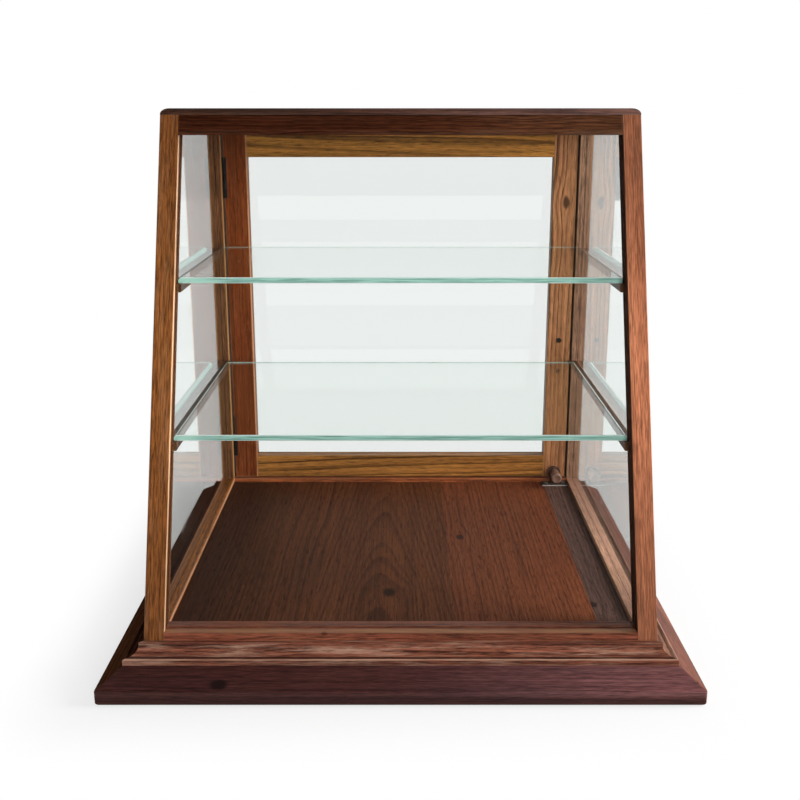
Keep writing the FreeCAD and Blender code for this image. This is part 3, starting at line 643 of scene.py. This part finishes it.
lacquer.links.new(maths(lacquer, "MULTIPLY_ADD", grit, 0.2, maths(lacquer, "MULTIPLY_ADD", bared, -0.1, 0.3)),
                  gives["Roughness"])
lacquer.links.new(maths(lacquer, "MULTIPLY_ADD", bared, 0.7, 0.25), gives["Metallic"])
lacquer.links.new(grit, gives["Height"])


def metal_finish(name, coat, bare, bare_amount):
    """Metal under a coat that is rubbed through to the bare metal in patches."""
    material, tree, surface = new_material(name)
    place = shade(tree, "TexCoord").outputs["Object"]
    values = {"Place": place, "Coat": coat, "Bare": bare, "Bare Amount": bare_amount}
    metal = shade(tree, "Group", values, node_tree=lacquer)
    for socket in ("Roughness", "Metallic"):
        tree.links.new(metal.outputs[socket], surface.inputs[socket])
    tree.links.new(metal.outputs["Color"], surface.inputs["Base Color"])
    sockets = {"Height": metal.outputs["Height"], "Strength": grit_relief, "Distance": grit_depth}
    relief = shade(tree, "Bump", sockets)
    tree.links.new(relief.outputs[0], surface.inputs["Normal"])
    return material


black_lacquer = metal_finish("black_lacquer", tone("1b1917"), tone("6b6661"), 0.35)
for name in ("upper_hinge_frame_leaf", "upper_hinge_door_leaf", "upper_hinge_pin",
             "lower_hinge_frame_leaf", "lower_hinge_door_leaf", "lower_hinge_pin",
             "hinge_frame_screws", "hinge_door_screws", "knob_screw"):
    paint(name, black_lacquer)
recess_width, recess_shade_proud, recess_shade_bevel = 0.0038, 0.0003, 0.00024
# A thin black sheet in each recess beside the door leaf, as painted shade.
for place in ("upper", "lower"):
    leaf_low, leaf_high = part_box(place + "_hinge_door_leaf")
    recess_shade_low = Vector((hinge_low.x, hinge_low.y - recess_shade_proud, leaf_low.z))
    recess_shade_high = Vector((hinge_low.x + recess_width, hinge_low.y, leaf_high.z))
    recess_shade_sheet = block(recess_shade_low, recess_shade_high)
    recess_shade_middle = hinge_low.y - recess_shade_proud / 2
    inner_rim = [edge for edge in recess_shade_sheet.edges if all(vert.co.y < recess_shade_middle for vert in edge.verts)]
    bevel(recess_shade_sheet, inner_rim, recess_shade_bevel, 2)
    finished(place + "_recess_painted_shade", recess_shade_sheet, [black_lacquer], None, "door")

# Knob: a small turned wooden knob outside the door, drawn tight by a screw through the latch stile.
# It is the door's own wood, with a rounded head on a hollowed stem and the grain along its axis.
knob_wood = dress_board("door_knob", back, up, ochre, Trunk=(0.1, 0.004, 0.02))
knob_turning = ((0.0, 6.4), (1.0, 6.4), (1.9, 5.4), (4.0, 4.9), (6.2, 5.4), (8.0, 7.8), (9.6, 9.8),
                (11.6, 10.8), (13.6, 10.9), (15.6, 10.3), (17.2, 8.8), (18.4, 6.2), (18.9, 3.2), (19.0, 0.0))
facets = 48


def turned(seat, turning):
    """Turn a profile of (millimetres towards the back, radius) points about an axis that starts at a seat."""
    shape = bmesh.new()
    rim = [shape.verts.new(seat + back * (far / 1000) + up * (radius / 1000)) for far, radius in turning]
    edges = [shape.edges.new(pair) for pair in zip(rim, rim[1:])]
    bmesh.ops.spin(shape, geom=rim + edges, cent=seat, axis=back, angle=math.tau, steps=facets,
                   use_merge=True)
    bmesh.ops.remove_doubles(shape, verts=shape.verts, dist=weld)
    bmesh.ops.recalc_face_normals(shape, faces=shape.faces)
    for face in shape.faces:
        face.smooth = True
    return shape


def front_middle(node):
    """The middle of the front side of a node's box."""
    low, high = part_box(node)
    return Vector(((low.x + high.x) / 2, low.y, (low.z + high.z) / 2))


knob = turned(front_middle("door_knob"), knob_turning)
finished("turned_knob", knob, [knob_wood], "door_knob", "door")

# Catch: a magnet in a brown bronzed barrel, held in a bracket screwed to the floor by the latch stile.
# The barrel's rear collar is copper, and a pale rim round its nose is a painted highlight.
# Its strike is a copper disc, driven into the door by its own shank.
plate = metal_finish("bronzed_plate", tone("41302a"), tone("8c7566"), 0.4)
tree = plate.node_tree
plate_colour = tree.nodes["Principled BSDF"].inputs["Base Color"]
# The plate's front edge is drawn pale, as bare metal that also stands in for the highlight on that arris.
plate_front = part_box("catch_holder")[0].y
pale_edge_full, pale_edge_end = plate_front + 0.0004, plate_front + 0.0012
depth = shade(tree, "SeparateXYZ", {0: shade(tree, "TexCoord").outputs["Object"]}).outputs[1]
pale_front_edge = ramp(tree, depth, pale_edge_end, pale_edge_full)
tree.links.new(mixed(tree, pale_front_edge, plate_colour.links[0].from_socket, tone("c9c0ba")), plate_colour)
bronze = metal_finish("bronzed_catch", tone("8d6654"), tone("b8967c"), 0.4)
copper = metal_finish("rubbed_copper", tone("d39c82"), tone("ecd3c1"), 0.5)
rim_highlight = metal_finish("nose_rim_painted_highlight", tone("a3958c"), tone("e0d8d2"), 0.6)
steel = metal_finish("plain_steel", tone("57524d"), tone("8f8982"), 0.6)
paint("catch_holder", plate)
paint("catch_screws", steel)
barrel_turning = ((1.0, 0.0), (1.0, 3.6), (0.5, 4.2), (0.0, 4.8), (0.1, 5.6), (0.6, 6.2), (1.4, 6.5),
                  (3.4, 6.5), (3.8, 6.0), (4.4, 6.0), (4.8, 6.5), (12.0, 6.5), (15.0, 5.8), (28.6, 5.8),
                  (29.3, 6.3), (30.0, 6.5), (33.4, 6.5), (34.0, 6.1), (34.0, 0.0))
collar_start, rim_depth, rim_inside = 0.029, 0.0008, 0.0052
barrel_nose = front_middle("catch_barrel")
barrel = turned(barrel_nose, barrel_turning)
for face in barrel.faces:
    middle = face.calc_center_median() - barrel_nose
    on_rim = middle.cross(back).length > rim_inside and middle.y < rim_depth
    face.material_index = 1 if middle.y > collar_start else 2 if on_rim else 0
finished("turned_barrel", barrel, [bronze, copper, rim_highlight], "catch_barrel", "case")
strike_turning = ((0.5, 0.0), (0.5, 4.4), (0.0, 5.2), (0.0, 6.7), (0.3, 7.3), (0.7, 7.5), (1.2, 7.5),
                  (1.2, 1.3), (13.2, 1.3), (13.2, 0.0))
strike = turned(front_middle("strike_disc"), strike_turning)
finished("turned_strike", strike, [copper], "strike_disc", "door")

# Studio: a pale floor that fades into a white surround, a large soft lamp on the right and one far in front.
# The surround is white where it is seen directly or through glass, and dim where the front mirrors it.
# The camera stands where the photograph was taken from.
floor_half, below_foot, fade_width = 6, 0.0005, 0.1
pale, tree, paper_surface = new_material("pale_paper")
paper_surface.inputs["Base Color"].default_value = (0.92, 0.92, 0.92, 1)
paper_surface.inputs["Roughness"].default_value = 0.9
outside = steps(tree, "ABSOLUTE", shade(tree, "TexCoord").outputs["Object"])
outside = steps(tree, "MAXIMUM", steps(tree, "SUBTRACT", outside, (*cad_box[1][:2], 1)), (0, 0, 0))
path = shade(tree, "LightPath").outputs
seen = maths(tree, "MAXIMUM", path["Is Glossy Ray"], path["Is Transmission Ray"])
seen = maths(tree, "MAXIMUM", path["Is Camera Ray"], seen)
fade = maths(tree, "MULTIPLY", ramp(tree, steps(tree, "LENGTH", outside), 0, fade_width, 0.7, 1), seen)
white = shade(tree, "Emission", {"Color": (1, 1, 1, 1), "Strength": 1}).outputs[0]
faded = shade(tree, "MixShader", {0: fade, 1: paper_surface.outputs[0], 2: white}).outputs[0]
tree.links.new(faded, tree.nodes["Material Output"].inputs["Surface"])
ground = bmesh.new()
bmesh.ops.create_grid(ground, x_segments=1, y_segments=1, size=floor_half)
bmesh.ops.translate(ground, vec=(0, 0, -below_foot), verts=ground.verts)
studio_floor = placed("studio_floor", ground, [pale])

surround = bpy.data.worlds.new("studio")
bpy.context.scene.world = surround
surround.use_nodes = True
tree = surround.node_tree
path = shade(tree, "LightPath").outputs
rightward, backward, upward = shade(
    tree, "SeparateXYZ", {0: shade(tree, "TexCoord").outputs["Generated"]}).outputs
level_band = maths(tree, "MULTIPLY", ramp(tree, upward, -0.02, 0.06), ramp(tree, upward, 0.7, 0.5))
aside = maths(tree, "MAXIMUM", ramp(tree, rightward, -0.3, 0.3, 0.1, 1), level_band)
gloss = maths(tree, "MULTIPLY", ramp(tree, backward, -0.4, 0.5, 0.04, 1), aside)
mirrored = ramp(tree, path["Glossy Depth"], 0.4, 0.6)
level = maths(tree, "MULTIPLY_ADD", maths(tree, "SUBTRACT", gloss, 1), mirrored, 1)
soft = maths(tree, "MULTIPLY", ramp(tree, rightward, -0.8, 0.8, 0.7, 1),
             ramp(tree, backward, -0.6, 0.6, 0.15, 0.65))
scattered = ramp(tree, path["Diffuse Depth"], 0.4, 0.6)
level = maths(tree, "MULTIPLY_ADD", maths(tree, "SUBTRACT", soft, level), scattered, level)
background = tree.nodes["Background"]
background.inputs["Color"].default_value = (1, 1, 1, 1)
tree.links.new(level, background.inputs["Strength"])
cabinet_middle = Vector((0, 0, 0.25))


def soft_lamp(name, place, size, power):
    """A square lamp that is aimed at the middle of the cabinet and isn't mirrored in it."""
    data = bpy.data.lights.new(name, "AREA")
    data.size = size
    data.energy = power
    lamp = bpy.data.objects.new(name, data)
    bpy.context.collection.objects.link(lamp)
    lamp.location = place
    lamp.rotation_euler = (cabinet_middle - Vector(place)).to_track_quat("-Z", "Y").to_euler()
    lamp.visible_glossy = False
    lamp.visible_transmission = False


soft_lamp("key_lamp", (2.2, -0.2, 1.0), 1.0, 62)
soft_lamp("fill_lamp", (0.9, -4.1, 1.1), 1.6, 120)

camera_dip, camera_turn = 14.9, -0.01
eye = bpy.data.cameras.new("photo_view")
eye.lens = 47.57
eye.sensor_width = 36
photo_view = bpy.data.objects.new("photo_view", eye)
bpy.context.collection.objects.link(photo_view)
photo_view.location = (-0.0008, -1.1524, 0.5266)
photo_view.rotation_euler = (math.radians(90 - camera_dip), 0, math.radians(camera_turn))
bpy.context.scene.camera = photo_view
bpy.context.scene.view_settings.view_transform = "Standard"
